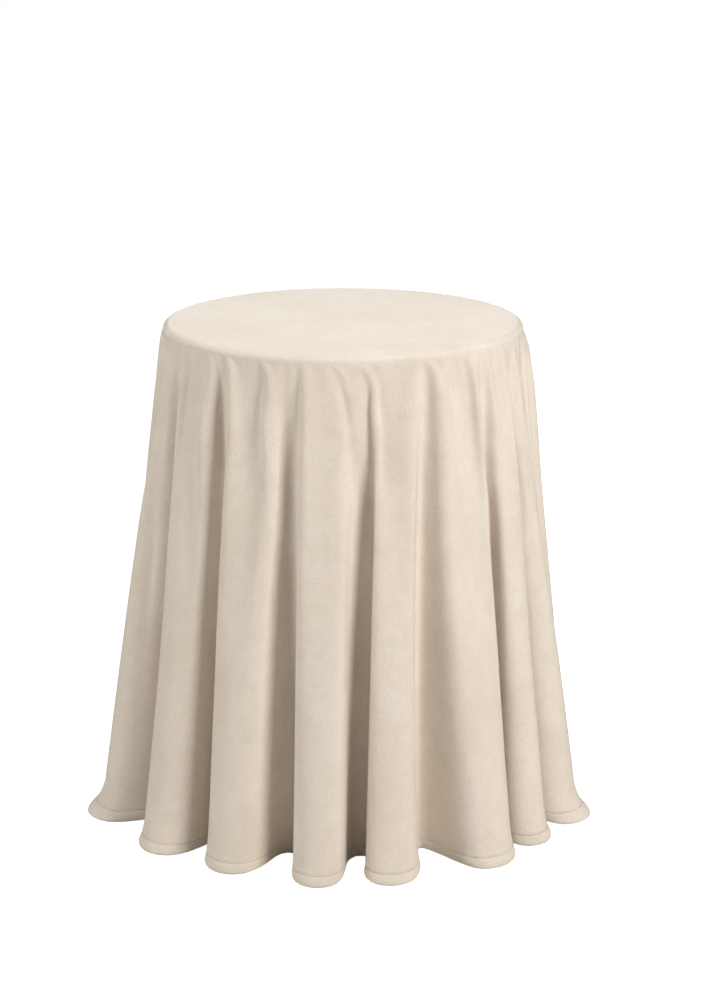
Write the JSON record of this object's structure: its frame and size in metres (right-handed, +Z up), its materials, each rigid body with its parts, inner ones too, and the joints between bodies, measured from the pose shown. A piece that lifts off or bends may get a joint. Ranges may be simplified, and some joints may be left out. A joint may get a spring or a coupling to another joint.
{
  "type": "skirted round side table",
  "caption": "Round side table under a floor-length draped velvet cloth with a deep fluted skirt and a stitched hem, over a board on screw-in turned legs.",
  "frame": {"origin": "on the floor, on the table's axis", "axes": "+Z up along the table's axis, -Y towards the front, +X to the right seen from the front"},
  "size_m": [0.7225, 0.6935, 0.7015],
  "materials": {
    "velvet": "matt cotton velvet, warm beige",
    "thread": "polyester sewing thread, tonal",
    "board": "raw medium-density fibreboard",
    "turned_wood": "clear-lacquered pine",
    "zinc_steel": "bright zinc plate",
    "nylon": "natural nylon"
  },
  "bodies": {
    "table": {"table_top": "board", "leg_plate_1": "zinc_steel", "leg_plate_2": "zinc_steel", "leg_plate_3": "zinc_steel", "plate_screws": "zinc_steel"},
    "cloth": {"tablecloth": "velvet", "hem": "velvet", "hem_thread": "thread"},
    "leg_unit_1": {"leg_1": "turned_wood", "hanger_bolt_1": "zinc_steel", "foot_glide_1": "nylon", "glide_nail_1": "zinc_steel"},
    "leg_unit_2": {"leg_2": "turned_wood", "hanger_bolt_2": "zinc_steel", "foot_glide_2": "nylon", "glide_nail_2": "zinc_steel"},
    "leg_unit_3": {"leg_3": "turned_wood", "hanger_bolt_3": "zinc_steel", "foot_glide_3": "nylon", "glide_nail_3": "zinc_steel"}
  },
  "joints": [
    {"name": "cloth_lift", "type": "slide", "parent": "table", "child": "cloth", "axis": [0, 0, 1], "range_m": [0, 0.72]},
    {"name": "leg_turn_1", "type": "hinge", "parent": "table", "child": "leg_unit_1", "pos_m": [0, 0.165, 0.68], "axis": [0, 0, -1], "range_deg": [0, 3456]},
    {"name": "leg_turn_2", "type": "hinge", "parent": "table", "child": "leg_unit_2", "pos_m": [-0.14289, -0.0825, 0.68], "axis": [0, 0, -1], "range_deg": [0, 3456]},
    {"name": "leg_turn_3", "type": "hinge", "parent": "table", "child": "leg_unit_3", "pos_m": [0.14289, -0.0825, 0.68], "axis": [0, 0, -1], "range_deg": [0, 3456]}
  ]
}
